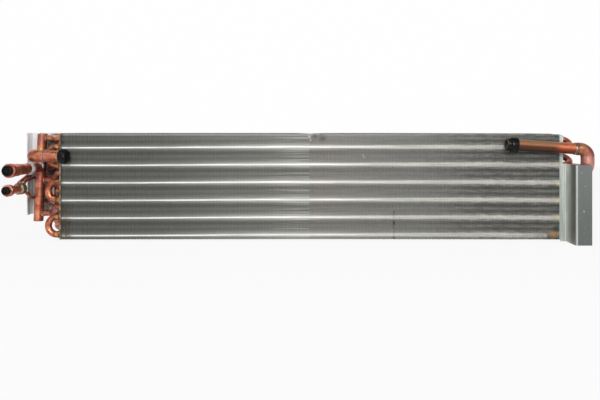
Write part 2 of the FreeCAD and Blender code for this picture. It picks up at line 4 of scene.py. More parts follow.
import bmesh
import bpy
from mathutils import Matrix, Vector


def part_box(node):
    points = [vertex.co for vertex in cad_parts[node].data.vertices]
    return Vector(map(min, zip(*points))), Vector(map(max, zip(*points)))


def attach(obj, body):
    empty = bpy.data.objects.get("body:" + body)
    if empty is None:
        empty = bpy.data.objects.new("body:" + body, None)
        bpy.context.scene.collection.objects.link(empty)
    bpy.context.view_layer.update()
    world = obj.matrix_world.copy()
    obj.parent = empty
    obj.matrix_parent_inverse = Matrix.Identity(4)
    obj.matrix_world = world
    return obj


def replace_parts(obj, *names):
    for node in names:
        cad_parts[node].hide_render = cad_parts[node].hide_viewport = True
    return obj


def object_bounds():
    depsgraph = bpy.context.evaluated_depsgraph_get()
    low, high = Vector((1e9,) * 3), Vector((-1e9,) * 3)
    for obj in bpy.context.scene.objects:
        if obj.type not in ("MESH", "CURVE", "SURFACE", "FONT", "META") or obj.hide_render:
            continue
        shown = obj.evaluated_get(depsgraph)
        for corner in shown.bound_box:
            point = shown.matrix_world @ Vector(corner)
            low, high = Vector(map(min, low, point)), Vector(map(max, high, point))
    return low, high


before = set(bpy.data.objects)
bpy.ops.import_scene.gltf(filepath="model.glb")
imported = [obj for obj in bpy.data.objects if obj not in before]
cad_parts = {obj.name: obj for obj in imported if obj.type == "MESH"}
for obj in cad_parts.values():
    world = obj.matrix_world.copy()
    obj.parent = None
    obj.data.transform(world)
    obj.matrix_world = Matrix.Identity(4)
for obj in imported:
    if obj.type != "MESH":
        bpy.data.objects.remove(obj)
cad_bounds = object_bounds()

# Everything is in metres, in the frame of the part: X along the tubes, Y to the rear, Z up.
PACK_LOW, PACK_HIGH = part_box("fin_pack")
FRONT = PACK_LOW.y
REAR = PACK_HIGH.y
FIN_TOP = PACK_HIGH.z
FIN_END = PACK_HIGH.x
PART_FOOT = cad_bounds[0][2]

# Tube field, as in the part
TUBE_PITCH = 0.0254
ROW_PITCH = 0.022
FIN_EDGE = 0.0006
TUBE_DROP = 0.0013
TUBES_PER_ROW = 6
ROWS = 4
FRONT_ROW, SECOND_ROW, THIRD_ROW, HEATER_ROW = range(ROWS)
TUBE_RADIUS = 0.0047625
SHEET_FACE = FIN_END + 0.0016
BELL_FACE = SHEET_FACE + 0.005
SPUN_LENGTH = 0.006

# Pipes and headers, as in the part
PIPE_RADIUS = 0.00795
CAPILLARY_RADIUS = 0.00238
BRANCH_DROP = 0.0125
LEFT_HEADING = Vector((30.7, 0.0, -0.4)).normalized()
RIGHT_HEADING = Vector((-99.9, 0.0, 6.5)).normalized()
SUCTION_HEADING = Vector((-6.5, -81.0, 0.0)).normalized()
LIQUID_HEADING = Vector((-3.6, -39.4, 0.0)).normalized()

# Fins: thin plates that stand out of a core on which the tubes show as soft ridges
FIN_COUNT = 355
FIN_THICKNESS = 0.00022
FINS_PER_PIECE = 71
CORE_GROOVE = 0.0014
RIDGE_STAND_OUT = 0.0007
RIDGE_HALF_HEIGHT = 0.0052
CORE_DROP = 0.0012
CORE_FOOT = 0.0008
CORNER_LENGTH = 0.011
CORNER_CRUSH = 0.0042
TOP_SAG = 0.0007
FIN_STEPS = 22
FIN_LEAN = 0.00014
FIN_WAVE = 0.00008

# Knocks that pushed fins aside: X, Z, reach and push
KNOCKS = ((0.0, 0.147, 0.007, 0.0011), (0.0785, 0.1205, 0.005, 0.0010),
          (0.1195, 0.038, 0.004, -0.0010), (0.1195, 0.018, 0.005, 0.0010))

# Beads of solder and braze: width along the joint's axis, and height over its surface
BELL_BEAD = (0.0030, 0.0011)
ENTRY_BEAD = (0.0026, 0.0010)
SPUN_BEAD = (0.0022, 0.0009)
PIPE_BEAD = (0.0026, 0.0008)
PIPE_UNEVENNESS = 0.012
RUN_UNEVENNESS = 0.03

# Places on the sheets and the fins that materials refer to
BRACKET_WEB = SHEET_FACE + 0.0084
# Heights of the painted shade behind the pipes on the left bracket.
SHADE_BEHIND_PIPES_HEIGHTS = (0.136, 0.097)
SEAM = -0.001
BENT_FINS = 0.1212

# The photograph's view: focal length and the principal point, in pixels of its 600 by 400 frame
PHOTO_WIDTH = 600
PHOTO_HEIGHT = 400
FOCAL_PIXELS = 554.4
PRINCIPAL_X = 310.0
PRINCIPAL_Y = 130.0
CAMERA_DISTANCE = 0.8
CAMERA_HEIGHT = 0.1582
SENSOR_WIDTH = 36.0
FLOOR_GAP = 0.0002


def tube_height(row, number):
    """Height of a tube's axis: rows are staggered by half a pitch, number 1 is the top tube."""
    quarter = 0.25 if row % 2 == 0 else 0.75
    return FIN_EDGE - TUBE_DROP + TUBE_PITCH * (TUBES_PER_ROW - number + quarter)


def tube_y(row):
    return FRONT + ROW_PITCH * (row + 0.5)


def middle(name):
    low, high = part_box(name)
    return (low + high) / 2


def along(point, heading, axis, value):
    """The point of a line at which one of its coordinates has a value."""
    return point + heading * ((value - point[axis]) / heading[axis])


# Nodes of a material

def node(tree, kind, *inputs, **settings):
    """Adds a node: inputs are numbers, colours or sockets in the order of the node's own."""
    made = tree.nodes.new(kind)
    for key, value in settings.items():
        setattr(made, key, value)
    for index, value in enumerate(inputs):
        if value is None:
            continue
        if isinstance(value, bpy.types.NodeSocket):
            tree.links.new(value, made.inputs[index])
        else:
            made.inputs[index].default_value = value
    return made


def math_node(tree, operation, a, b=0.0):
    return node(tree, "ShaderNodeMath", a, b, operation=operation).outputs[0]


def product(tree, a, b):
    return math_node(tree, "MULTIPLY", a, b)


def distance_from(tree, value, place):
    return math_node(tree, "ABSOLUTE", math_node(tree, "SUBTRACT", value, place))


def ramp_between(tree, value, low, high, to_low=0.0, to_high=1.0):
    """Maps a value from one range to another, smoothly and clamped."""
    made = node(tree, "ShaderNodeMapRange", value, low, high, to_low, to_high,
                interpolation_type="SMOOTHSTEP")
    return made.outputs[0]


def mix(tree, kind, sockets, values, output):
    made = tree.nodes.new("ShaderNodeMix")
    made.data_type = kind
    for index, value in zip(sockets, values):
        if isinstance(value, bpy.types.NodeSocket):
            tree.links.new(value, made.inputs[index])
        else:
            made.inputs[index].default_value = value
    return made.outputs[output]


def mix_colour(tree, factor, a, b):
    return mix(tree, "RGBA", (0, 6, 7), (factor, a, b), 2)


def mix_value(tree, factor, a, b):
    return mix(tree, "FLOAT", (0, 2, 3), (factor, a, b), 0)


def noise(tree, where, scale, detail=3.0, stretch=(1, 1, 1)):
    """A noise between 0 and 1; stretch multiplies the coordinates first."""
    if stretch != (1, 1, 1):
        where = node(tree, "ShaderNodeVectorMath", where, stretch, operation="MULTIPLY").outputs[0]
    return node(tree, "ShaderNodeTexNoise", where, None, scale, detail).outputs[0]


def nearness(tree, where, point, reach, full=0.0):
    """One up to a distance from a point, falling to nought at a larger one."""
    away = node(tree, "ShaderNodeVectorMath", where, tuple(point), operation="DISTANCE").outputs[1]
    return ramp_between(tree, away, full, reach, 1.0, 0.0)


def bump(tree, height, distance, strength=1.0):
    return node(tree, "ShaderNodeBump", strength, distance, None, height).outputs[0]


def painted_side_shade(tree):
    """A mask for painted shade: one on the sides and undersides of a pipe, nought where it faces the front or
    a little up.
    """
    normal = tree.nodes.new("ShaderNodeTexCoord").outputs["Normal"]
    facing = node(tree, "ShaderNodeVectorMath", normal, (0.1, -0.72, 0.68), operation="DOT_PRODUCT")
    return ramp_between(tree, facing.outputs[1], 0.8, 0.05)


def parts_of(tree, where):
    return node(tree, "ShaderNodeSeparateXYZ", where).outputs[:3]


def colour(red, green, blue, gain=1.0):
    """A linear colour from the 0 to 255 values of a screen."""
    def linear(value):
        value /= 255
        value = value / 12.92 if value <= 0.04045 else ((value + 0.055) / 1.055) ** 2.4
        return min(value * gain, 0.96)
    return (linear(red), linear(green), linear(blue), 1.0)


def grey(value, gain=1.0):
    """The fins' grey: a little green where it is dark and warm where it is bright."""
    return colour(value, value * (1.01 - value / 9000), value * 0.955, gain)


def material(name, metallic, roughness):
    made = bpy.data.materials.new(name)
    made.use_nodes = True
    tree = made.node_tree
    shader = tree.nodes["Principled BSDF"]
    shader.inputs["Metallic"].default_value = metallic
    shader.inputs["Roughness"].default_value = roughness
    where = tree.nodes.new("ShaderNodeTexCoord").outputs["Object"]
    return made, tree, shader, where


def link(tree, socket, shader, name):
    tree.links.new(socket, shader.inputs[name])


# Materials

def copper(name, light, dark, tints=(), shade=0.7, roughness=0.36):
    """Bare copper: cloudy colour, sooty marks, heat tints as (point, reach, colour, strength), and
    painted shade on the sides and undersides, as strong as shade."""
    made, tree, shader, where = material(name, 0.8, roughness)
    cloud = ramp_between(tree, noise(tree, where, 85.0), 0.35, 0.65)
    base = mix_colour(tree, cloud, light, dark)
    streak = ramp_between(tree, noise(tree, where, 200.0, 4.0), 0.53, 0.70)
    base = mix_colour(tree, product(tree, streak, 0.7), base, colour(96, 50, 38))
    for point, reach, tint, strength in tints:
        spot = product(tree, nearness(tree, where, point, reach), strength)
        base = mix_colour(tree, spot, base, tint)
    # Painted shade: darker where the surface turns away from the front and from above.
    base = mix_colour(tree, product(tree, painted_side_shade(tree), shade), base, colour(104, 40, 28))
    link(tree, base, shader, "Base Color")
    rough = mix_value(tree, cloud, roughness - 0.08, roughness + 0.12)
    link(tree, rough, shader, "Roughness")
    link(tree, bump(tree, noise(tree, where, 700.0, 2.0), 0.0002, 0.25), shader, "Normal")
    return made


def right_pipe_copper():
    """The right pipe: a painted highlight band above and painted shade below, a red patch that is painted
    darker below, and a pink elbow.
    """
    made, tree, shader, where = material("copper_right_pipe", 0.7, 0.4)
    x, _, z = parts_of(tree, where)
    pipe = middle("heater_pipe_right")
    corner = middle("heater_elbow_upper_right") - Vector((0, PIPE_RADIUS, 0))
    slope = RIGHT_HEADING.z / RIGHT_HEADING.x
    axis = math_node(tree, "ADD", product(tree, x, slope), pipe.z - slope * pipe.x)
    height = math_node(tree, "DIVIDE", math_node(tree, "SUBTRACT", z, axis), 2 * PIPE_RADIUS)
    # Painted highlight and shade across the pipe: dark along its underside, a light band along its upper
    # side.
    bands = band_ramp(tree, math_node(tree, "ADD", height, 0.5), [
        (0.0, colour(50, 34, 28)), (0.5, colour(95, 55, 37)), (0.8, colour(176, 126, 86)),
        (1.0, colour(140, 110, 90)),
    ])
    cloud = ramp_between(tree, noise(tree, where, 85.0), 0.35, 0.65)
    elbow = mix_colour(tree, cloud, colour(188, 126, 94), colour(150, 98, 72))
    # The red patch, with painted shade on its lower half.
    patch = mix_colour(tree, ramp_between(tree, height, -0.3, 0.2), colour(128, 50, 32), colour(206, 116, 82))
    base = mix_colour(tree, ramp_between(tree, x, 0.340, 0.354, 0.0, 0.85), bands, patch)
    base = mix_colour(tree, ramp_between(tree, x, corner.x - 0.016, corner.x - 0.010), base, elbow)
    below_elbow = ramp_between(tree, z, corner.z - 0.003, corner.z - 0.010)
    base = mix_colour(tree, below_elbow, base, colour(200, 138, 124))
    purple = nearness(tree, where, corner + Vector((0.006, 0, 0.001)), 0.012)
    base = mix_colour(tree, product(tree, purple, 0.85), base, colour(142, 62, 74))
    streak = ramp_between(tree, noise(tree, where, 240.0, 4.0), 0.56, 0.72)
    base = mix_colour(tree, product(tree, streak, 0.45), base, colour(92, 52, 44))
    link(tree, base, shader, "Base Color")
    link(tree, bump(tree, noise(tree, where, 700.0, 2.0), 0.0002, 0.25), shader, "Normal")
    return made


def bend_copper():
    """The core's own tubes: bright on the bends, with soot and yellow braze at the bells, and painted shade
    on their sides and undersides.
    """
    made, tree, shader, where = material("copper_bends", 0.8, 0.3)
    cloud = ramp_between(tree, noise(tree, where, 110.0), 0.35, 0.65)
    base = mix_colour(tree, cloud, colour(226, 142, 108), colour(160, 82, 58))
    past_bell = distance_from(tree, parts_of(tree, where)[0], -BELL_FACE - 0.001)
    soot = product(tree, ramp_between(tree, past_bell, 0.003, 0.011, 1.0, 0.0),
                   ramp_between(tree, noise(tree, where, 160.0), 0.35, 0.6, 0.2, 0.95))
    base = mix_colour(tree, soot, base, colour(88, 50, 36))
    gold = product(tree, ramp_between(tree, past_bell, 0.002, 0.010, 1.0, 0.0),
                   ramp_between(tree, noise(tree, where, 210.0), 0.44, 0.60))
    base = mix_colour(tree, gold, base, colour(216, 150, 94))
    # Painted shade on the sides and undersides of the bends.
    base = mix_colour(tree, product(tree, painted_side_shade(tree), 0.7), base, colour(96, 34, 26))
    link(tree, base, shader, "Base Color")
    link(tree, mix_value(tree, soot, 0.28, 0.55), shader, "Roughness")
    link(tree, bump(tree, noise(tree, where, 600.0, 2.0), 0.0002, 0.25), shader, "Normal")
    return made


def sheet_metal(name):
    """The start of a zinc-coated sheet: its nodes, and a grain of rolling streaks along Z."""
    made, tree, shader, where = material(name, 0.35, 0.45)
    streaks = noise(tree, where, 420.0, 3.0, (1, 1, 0.03))
    grain = mix_value(tree, 0.35, streaks, noise(tree, where, 900.0, 2.0))
    return made, tree, shader, where, grain


def finish_sheet(tree, shader, base, grain, roughness=0.37):
    """Adds the faint grain and the small bumps that every sheet has."""
    shade = ramp_between(tree, grain, 0.3, 0.7)
    darker = mix_colour(tree, product(tree, shade, 0.22), base, colour(96, 100, 98))
    link(tree, darker, shader, "Base Color")
    link(tree, mix_value(tree, shade, roughness, roughness + 0.18), shader, "Roughness")
    link(tree, bump(tree, grain, 0.0001, 0.25), shader, "Normal")


def right_bracket_metal():
    """Pale at the plate, painted shade along the web towards the front, an even grey front flange, a painted
    highlight on the front fold, and painted glints of small dents.
    """
    made, tree, shader, where, grain = sheet_metal("right_bracket")
    x, y, z = parts_of(tree, where)
    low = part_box("bracket_right")[0]
    pale = mix_colour(tree, ramp_between(tree, z, 0.0, 0.10), colour(206, 210, 202), colour(228, 232, 224))
    lines = ramp_between(tree, noise(tree, where, 900.0, 1.0, (1, 0.02, 0.02)), 0.5, 0.62)
    pale = mix_colour(tree, product(tree, lines, 0.35), pale, colour(140, 144, 138))
    # Painted shade: the web darkens towards the front.
    painted_web_shade = ramp_between(tree, y, FRONT - 0.002, FRONT - 0.024)
    base = mix_colour(tree, painted_web_shade, pale, colour(118, 120, 112))
    flange = mix_colour(tree, ramp_between(tree, z, 0.0, 0.11), colour(98, 103, 99), colour(112, 116, 113))
    on_flange = ramp_between(tree, x, BRACKET_WEB + 0.0005, BRACKET_WEB + 0.0022)
    base = mix_colour(tree, on_flange, base, flange)
    # A painted highlight along the front fold.
    at_front = ramp_between(tree, y, low.y + 0.0024, low.y + 0.0014)
    from_fold = distance_from(tree, x, BRACKET_WEB + 0.0004)
    at_fold = ramp_between(tree, from_fold, 0.0008, 0.0016, 1.0, 0.0)
    base = mix_colour(tree, product(tree, at_front, at_fold), base, colour(186, 194, 190))
    blotch = ramp_between(tree, noise(tree, where, 300.0, 4.0), 0.62, 0.74)
    base = mix_colour(tree, product(tree, blotch, 0.35), base, colour(150, 158, 156))
    # Painted glints of small dents on the flange.
    for right, height, reach in ((0.0100, 0.045, 0.0013), (0.0072, 0.0985, 0.0010), (0.0115, 0.080, 0.0008)):
        dent_glint = nearness(tree, where, (BRACKET_WEB + right, low.y, height), reach)
        base = mix_colour(tree, dent_glint, base, colour(225, 235, 235))
    finish_sheet(tree, shader, base, grain)
    return made


def left_bracket_metal():
    """Painted paler than the other zinc sheet, as painted light: pale above, greyer towards its lower end,
    with painted shade in the fold and the groove, a painted shadow under the suction pipe, and painted shade
    behind the pipes.
    """
    made, tree, shader, where, grain = sheet_metal("left_bracket")
    x, y, z = parts_of(tree, where)
    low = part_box("bracket_left")[0]
    above = ramp_between(tree, z, 0.075, 0.115)
    base = mix_colour(tree, above, colour(240, 242, 238), colour(252, 253, 251))
    link(tree, ramp_between(tree, x, low.x + 0.0010, low.x + 0.0030, 0.35, 0.1), shader, "Metallic")
    # Painted shade in the fold of the upper part and in the groove of the lower part.
    fold = ramp_between(tree, distance_from(tree, y, low.y + 0.0180), 0.0010, 0.0026, 0.5, 0.0)
    base = mix_colour(tree, product(tree, fold, above), base, colour(120, 122, 118))
    groove = ramp_between(tree, distance_from(tree, y, low.y + 0.0042), 0.0008, 0.0026, 0.6, 0.0)
    below = math_node(tree, "SUBTRACT", 1.0, above)
    base = mix_colour(tree, product(tree, groove, below), base, colour(120, 122, 118))
    # A painted shadow under the suction pipe, though the mask is named soot.
    soot = product(tree, nearness(tree, where, (low.x + 0.001, low.y + 0.010, 0.090), 0.016),
                   ramp_between(tree, noise(tree, where, 160.0), 0.3, 0.5, 0.6, 1.0))
    base = mix_colour(tree, soot, base, colour(30, 28, 28))
    normal = tree.nodes.new("ShaderNodeTexCoord").outputs["Normal"]
    on_front = ramp_between(tree, parts_of(tree, normal)[1], -0.3, -0.8)
    # Painted shade behind the pipes on the front-facing step.
    for height in SHADE_BEHIND_PIPES_HEIGHTS:
        painted_shade_behind_pipes = product(tree, nearness(tree, where, (-FIN_END - 0.046, low.y + 0.030, height), 0.024, 0.014),
                        ramp_between(tree, noise(tree, where, 160.0), 0.35, 0.55, 0.75, 1.0))
        base = mix_colour(tree, product(tree, painted_shade_behind_pipes, on_front), base, colour(52, 46, 36))
    finish_sheet(tree, shader, base, grain, 0.25)
    return made


def end_plate_metal():
    """The end plates: dull zinc, khaki on the left one's front edge and bluish on the right flange."""
    made, tree, shader, where, grain = sheet_metal("end_plate")
    x, y, _ = parts_of(tree, where)
    base = mix_colour(tree, ramp_between(tree, noise(tree, where, 60.0), 0.35, 0.65),
                      colour(176, 180, 176), colour(150, 154, 150))
    on_edge = product(tree, ramp_between(tree, y, FRONT + 0.0008, FRONT + 0.0004),
                      ramp_between(tree, x, -0.1, -0.2))
    khaki = mix_colour(tree, ramp_between(tree, noise(tree, where, 170.0), 0.4, 0.62),
                       colour(168, 156, 128), colour(104, 82, 62))
    base = mix_colour(tree, on_edge, base, khaki)
    blue = mix_colour(tree, ramp_between(tree, x, SHEET_FACE - 0.0002, SHEET_FACE + 0.0006),
                      colour(176, 206, 212), colour(206, 210, 206))
    base = mix_colour(tree, ramp_between(tree, x, FIN_END - 0.0005, FIN_END), base, blue)
    finish_sheet(tree, shader, base, grain)
    return made


def brass():
    made, tree, shader, where = material("turned_brass", 0.7, 0.42)
    cloud = ramp_between(tree, noise(tree, where, 300.0), 0.35, 0.65)
    base = mix_colour(tree, cloud, colour(166, 148, 120), colour(112, 96, 74))
    link(tree, base, shader, "Base Color")
    rings = node(tree, "ShaderNodeTexWave", where, 900.0, 0.5, 2.0, bands_direction="Y").outputs[1]
    link(tree, bump(tree, rings, 0.0001, 0.3), shader, "Normal")
    return made


def solder(name, light, dark, roughness=0.3, metallic=0.8):
    made, tree, shader, where = material(name, metallic, roughness)
    cloud = ramp_between(tree, noise(tree, where, 420.0), 0.4, 0.6)
    link(tree, mix_colour(tree, cloud, light, dark), shader, "Base Color")
    link(tree, bump(tree, noise(tree, where, 900.0), 0.0003, 0.5), shader, "Normal")
    return made


def black_plastic():
    made, tree, shader, where = material("black_plastic", 0.0, 0.28)
    shader.inputs["Specular IOR Level"].default_value = 0.18
    grain = noise(tree, where, 1200.0, 2.0)
    dust = ramp_between(tree, noise(tree, where, 260.0, 4.0), 0.56, 0.8)
    base = mix_colour(tree, product(tree, dust, 0.2), colour(7, 8, 8), colour(44, 46, 46))
    link(tree, base, shader, "Base Color")
    link(tree, mix_value(tree, dust, 0.24, 0.45), shader, "Roughness")
    link(tree, bump(tree, grain, 0.0001, 0.3), shader, "Normal")
    return made


def band_ramp(tree, phase, stops):
    """A colour band that repeats with each tube: stops are (place in the pitch, colour)."""
    made = tree.nodes.new("ShaderNodeValToRGB")
    tree.links.new(phase, made.inputs[0])
    elements = made.color_ramp.elements
    while len(elements) < len(stops):
        elements.new(0.5)
    for element, (place, tone) in zip(elements, stops):
        element.position = place
        element.color = tone
    return made.outputs[0]


# The fins' greys: halfway between two tubes, the dark band of painted shade, the dull band, beside the tube's
# line, and the line itself, a painted highlight; the left, centre and right greys stand for the different
# light on each third. The half width of the line and the places of the bands are shares of the tube pitch.
LEFT_GREYS, LEFT_LINE = (82, 64, 80, 100, 240), 0.026
CENTRE_GREYS, CENTRE_LINE = (100, 80, 110, 150, 235), 0.030
RIGHT_GREYS, RIGHT_LINE = (115, 66, 115, 130, 160), 0.070
DARK_BAND = 0.16
DULL_BAND = 0.32


def fin_bands(tree, phase, gain, greys, half_line):
    """The greys of one tube pitch, the same above and below the tube's line in its middle: a painted
    highlight line with painted shade in the dark bands.
    """
    between, dark, dull, beside, line = greys
    below = [(0.0, between), (DARK_BAND, dark), (DULL_BAND, dull), (0.5 - 2 * half_line, beside),
             (0.5 - half_line, line)]
    above = [(1.0 - place, value) for place, value in reversed(below)]
    return band_ramp(tree, phase, [(place, grey(value, gain)) for place, value in below + above])


def fin_phase(tree, x, y, z):
    """The place in the tube pitch, 0.5 at a tube's painted highlight line. The lines rise a little along the
    fins, and the rear row's stand half a pitch off the front row's."""
    start = tube_height(FRONT_ROW, TUBES_PER_ROW) - TUBE_PITCH / 2
    rise = math_node(tree, "SUBTRACT", ramp_between(tree, x, -0.30, -0.02, 0.0, 0.0013),
                     ramp_between(tree, x, 0.25, 0.33, 0.0, 0.0006))
    level = math_node(tree, "SUBTRACT", math_node(tree, "SUBTRACT", z, start), rise)
    at_rear = product(tree, math_node(tree, "GREATER_THAN", y, 0.0), 0.5)
    pitches = math_node(tree, "ADD", math_node(tree, "DIVIDE", level, TUBE_PITCH), at_rear)
    return math_node(tree, "FRACT", pitches)


def fin_tone(tree, where, off_line, gain, phase):
    """The painted highlight and shade bands, a painted silky sheen left of the seam, warm and then even grey
    right of it, and a painted highlight along the top.
    """
    x, _, z = parts_of(tree, where)
    left = fin_bands(tree, phase, gain, LEFT_GREYS, LEFT_LINE)
    centre = fin_bands(tree, phase, gain, CENTRE_GREYS, CENTRE_LINE)
    right = fin_bands(tree, phase, gain, RIGHT_GREYS, RIGHT_LINE)
    base = mix_colour(tree, ramp_between(tree, x, -0.25, -0.02), left, centre)
    base = mix_colour(tree, ramp_between(tree, x, 0.0, 0.16), base, right)
    # A painted sheen of silky streaks left of the seam.
    painted_sheen = ramp_between(tree, noise(tree, where, 1000.0, 1.0, (0.012, 0.012, 1)), 0.50, 0.64)
    painted_sheen = product(tree, painted_sheen, ramp_between(tree, x, -0.075, -0.01, 0.0, 0.27))
    left_of_seam = math_node(tree, "LESS_THAN", x, SEAM)
    base = mix_colour(tree, product(tree, painted_sheen, left_of_seam), base, grey(205, gain))
    warm = mix_colour(tree, ramp_between(tree, noise(tree, where, 500.0), 0.35, 0.65),
                      colour(126, 112, 104, gain), colour(106, 104, 96, gain))
    right_of_seam = product(tree, math_node(tree, "GREATER_THAN", x, SEAM),
                            ramp_between(tree, x, 0.02, 0.14, 0.35, 0.0))
    base = mix_colour(tree, product(tree, right_of_seam, off_line), base, warm)
    even = product(tree, ramp_between(tree, x, 0.0, 0.07), ramp_between(tree, x, 0.26, 0.17, 0.0, 0.7))
    base = mix_colour(tree, product(tree, even, off_line), base, grey(105, gain))
    # A painted highlight along the top edge.
    painted_top_highlight = ramp_between(tree, z, FIN_TOP - 0.0050, FIN_TOP - 0.0022)
    return mix_colour(tree, product(tree, painted_top_highlight, 0.8), base, grey(134, gain))


def fin_grain(tree, where, off_line, gain, base):
    """Streaks along the tubes, grains, and dashes that grow towards the right end."""
    x = parts_of(tree, where)[0]
    streaks = noise(tree, where, 900.0, 3.0, (0.02, 0.02, 1))
    base = mix_colour(tree, ramp_between(tree, streaks, 0.42, 0.68, 0.0, 0.30), base, grey(64, gain))
    grains = ramp_between(tree, noise(tree, where, 1100.0, 2.0, (0.6, 0.6, 1)), 0.45, 0.62)
    grains = product(tree, grains, ramp_between(tree, x, 0.0, 0.12, 0.1, 0.42))
    grains = product(tree, grains, mix_value(tree, off_line, 0.4, 1.0))
    base = mix_colour(tree, grains, base, grey(60, gain))
    dashes = ramp_between(tree, noise(tree, where, 760.0, 2.0, (0.10, 0.10, 1)), 0.42, 0.60)
    dashes = product(tree, dashes, ramp_between(tree, x, 0.14, 0.26, 0.0, 0.5))
    dashes = product(tree, dashes, mix_value(tree, off_line, 0.25, 1.0))
    return mix_colour(tree, dashes, base, grey(48, gain))


def fin_marks(tree, where, off_line, gain, base):
    """Painted shade along a line of bent fins right of the middle, the dark first fins, and the stains with
    their painted highlights.
    """
    x, _, z = parts_of(tree, where)
    # Painted shade along a line of bent fins, up from the bottom.
    bent = product(tree, ramp_between(tree, distance_from(tree, x, BENT_FINS), 0.0008, 0.0020, 1.0, 0.0),
                   ramp_between(tree, z, 0.044, 0.036))
    bent = product(tree, bent, ramp_between(tree, noise(tree, where, 240.0), 0.45, 0.55, 0.15, 0.9))
    bent = product(tree, bent, mix_value(tree, off_line, 0.2, 1.0))
    base = mix_colour(tree, bent, base, grey(30, gain))
    first = ramp_between(tree, x, -FIN_END + 0.0008, -FIN_END + 0.0028, 0.75, 0.0)
    base = mix_colour(tree, first, base, colour(40, 36, 30, gain))
    for point, reach, tint, strength in fin_stains_and_glints(gain):
        spread = product(tree, nearness(tree, where, point, reach),
                         ramp_between(tree, noise(tree, where, 210.0, 4.0), 0.3, 0.6, 0.3, 1.0))
        base = mix_colour(tree, product(tree, spread, strength), base, tint)
    return base


def fin_metal(name, gain, metallic, roughness):
    """Thin aluminium: a painted highlight line at each tube, dull bands with painted shade between, and
    stains at the ends.
    """
    made, tree, shader, where = material(name, metallic, roughness)
    phase = fin_phase(tree, *parts_of(tree, where))
    off_line = ramp_between(tree, distance_from(tree, phase, 0.5), 0.08, 0.13)
    base = fin_tone(tree, where, off_line, gain, phase)
    base = fin_grain(tree, where, off_line, gain, base)
    base = fin_marks(tree, where, off_line, gain, base)
    link(tree, base, shader, "Base Color")
    return made


def fin_stains_and_glints(gain):
    """Rust at the right end, worst at the bottom, an olive film on the left end, soot at the top, a cream
    tint on the painted highlight lines at the right end, and the painted shine of knocked fins."""
    rust, brown = colour(136, 100, 50, gain), colour(48, 34, 20, gain)
    shine, film = grey(235, gain), colour(92, 84, 72, gain)
    cream_highlight, soot = colour(206, 176, 120, gain), colour(44, 42, 40, gain)
    olive = colour(58, 50, 28, gain)
    stains = [
        ((FIN_END - 0.020, FRONT, 0.003), 0.024, film, 0.6),
        ((FIN_END - 0.015, FRONT, 0.0066), 0.006, brown, 0.5),
        ((FIN_END - 0.0105, FRONT, 0.0070), 0.007, rust, 0.9),
        ((FIN_END - 0.0050, FRONT, 0.0070), 0.008, rust, 1.0),
        ((FIN_END - 0.014, FRONT, 0.0008), 0.010, brown, 0.95),
        ((FIN_END - 0.003, FRONT, 0.0004), 0.010, brown, 0.95),
        ((FIN_END - 0.004, FRONT, 0.0145), 0.007, brown, 0.7),
        ((FIN_END, FRONT, 0.005), 0.0035, brown, 1.0),
        # Painted shine of knocked fins.
        ((0.0780, FRONT, 0.1190), 0.0028, shine, 0.8),
        ((0.0765, FRONT, 0.1222), 0.0022, shine, 0.6),
        ((-0.0008, FRONT, 0.1490), 0.0032, shine, 0.9),
        ((0.0006, FRONT, 0.1435), 0.0026, shine, 0.8),
        ((-FIN_END + 0.003, FRONT, 0.075), 0.009, olive, 0.6),
        ((-FIN_END + 0.004, FRONT, 0.045), 0.016, olive, 0.8),
        ((-FIN_END + 0.005, FRONT, 0.022), 0.017, olive, 0.95),
        ((-FIN_END + 0.007, FRONT, 0.003), 0.015, olive, 0.95),
    ]
    # A cream tint on the painted highlight lines at the right end.
    for number in range(2, TUBES_PER_ROW):
        stains.append(((FIN_END - 0.001, FRONT, tube_height(FRONT_ROW, number)), 0.007, cream_highlight, 0.5))
    for height in (0.1475, 0.1405):
        stains.append(((-FIN_END + 0.0022, FRONT, height), 0.0062, soot, 1.0))
    for right, height, reach in ((0.007, 0.149, 0.006), (0.018, 0.147, 0.009)):
        stains.append(((right, FRONT, height), reach, soot, 0.9))
    return stains


# Meshes

def piece(name, vertices, faces, look, sharp=40.0):
    """A closed mesh with its normals outwards, smooth but for edges sharper than an angle."""
    mesh = bpy.data.meshes.new(name)
    mesh.from_pydata(vertices, [], faces)
    work = bmesh.new()
    work.from_mesh(mesh)
    bmesh.ops.recalc_face_normals(work, faces=work.faces)
    work.to_mesh(mesh)
    work.free()
    made = bpy.data.objects.new(name, mesh)
    bpy.context.scene.collection.objects.link(made)
    mesh.materials.append(look)
    mesh.shade_smooth()
    mesh.set_sharp_from_angle(angle=math.radians(sharp))
    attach(made, "root")
    return made


def lathe(name, start, axis, stations, look, around=40, shape=None, hollow=False):
    """A turned piece: stations are (distance along the axis, radius); shape may vary the radius.
    A hollow one joins its last station to its first, the others are closed by flat ends."""
    axis = Vector(axis).normalized()
    side = axis.orthogonal().normalized()
    other = axis.cross(side)
    vertices, faces = [], []
    for step, (distance, radius) in enumerate(stations):
        for index in range(around):
            angle = 2 * math.pi * index / around
            wide = radius * (shape(angle, step) if shape else 1.0)
            outward = side * math.cos(angle) + other * math.sin(angle)
            vertices.append(start + axis * distance + outward * wide)
    count = len(stations)
    for step in range(count if hollow else count - 1):
        here, there = step * around, (step + 1) % count * around
        for index in range(around):
            following = (index + 1) % around
            faces.append((here + index, here + following, there + following, there + index))
    if not hollow:
        faces.append(tuple(range(around)))
        faces.append(tuple(range((count - 1) * around, count * around)))
    return piece(name, vertices, faces, look)


def fin_top(x):
    """The fins' top edge sinks a little towards the right end and is crushed at the corner."""
    sag = TOP_SAG * min(max((x - 0.10) / 0.22, 0.0), 1.0)
    crush = CORNER_CRUSH * min(max((x - FIN_END + CORNER_LENGTH) / CORNER_LENGTH, 0.0), 1.0)
    return FIN_TOP - sag - crush


def bend_of_fin(x, z):
    """How far the knocks have pushed a fin's edge aside."""
    push = 0.0
    for right, height, reach, aside in KNOCKS:
        share = max(1.0 - math.hypot(x - right, z - height) / reach, 0.0)
        push += aside * share * (1 if x > right else -1)
    return push


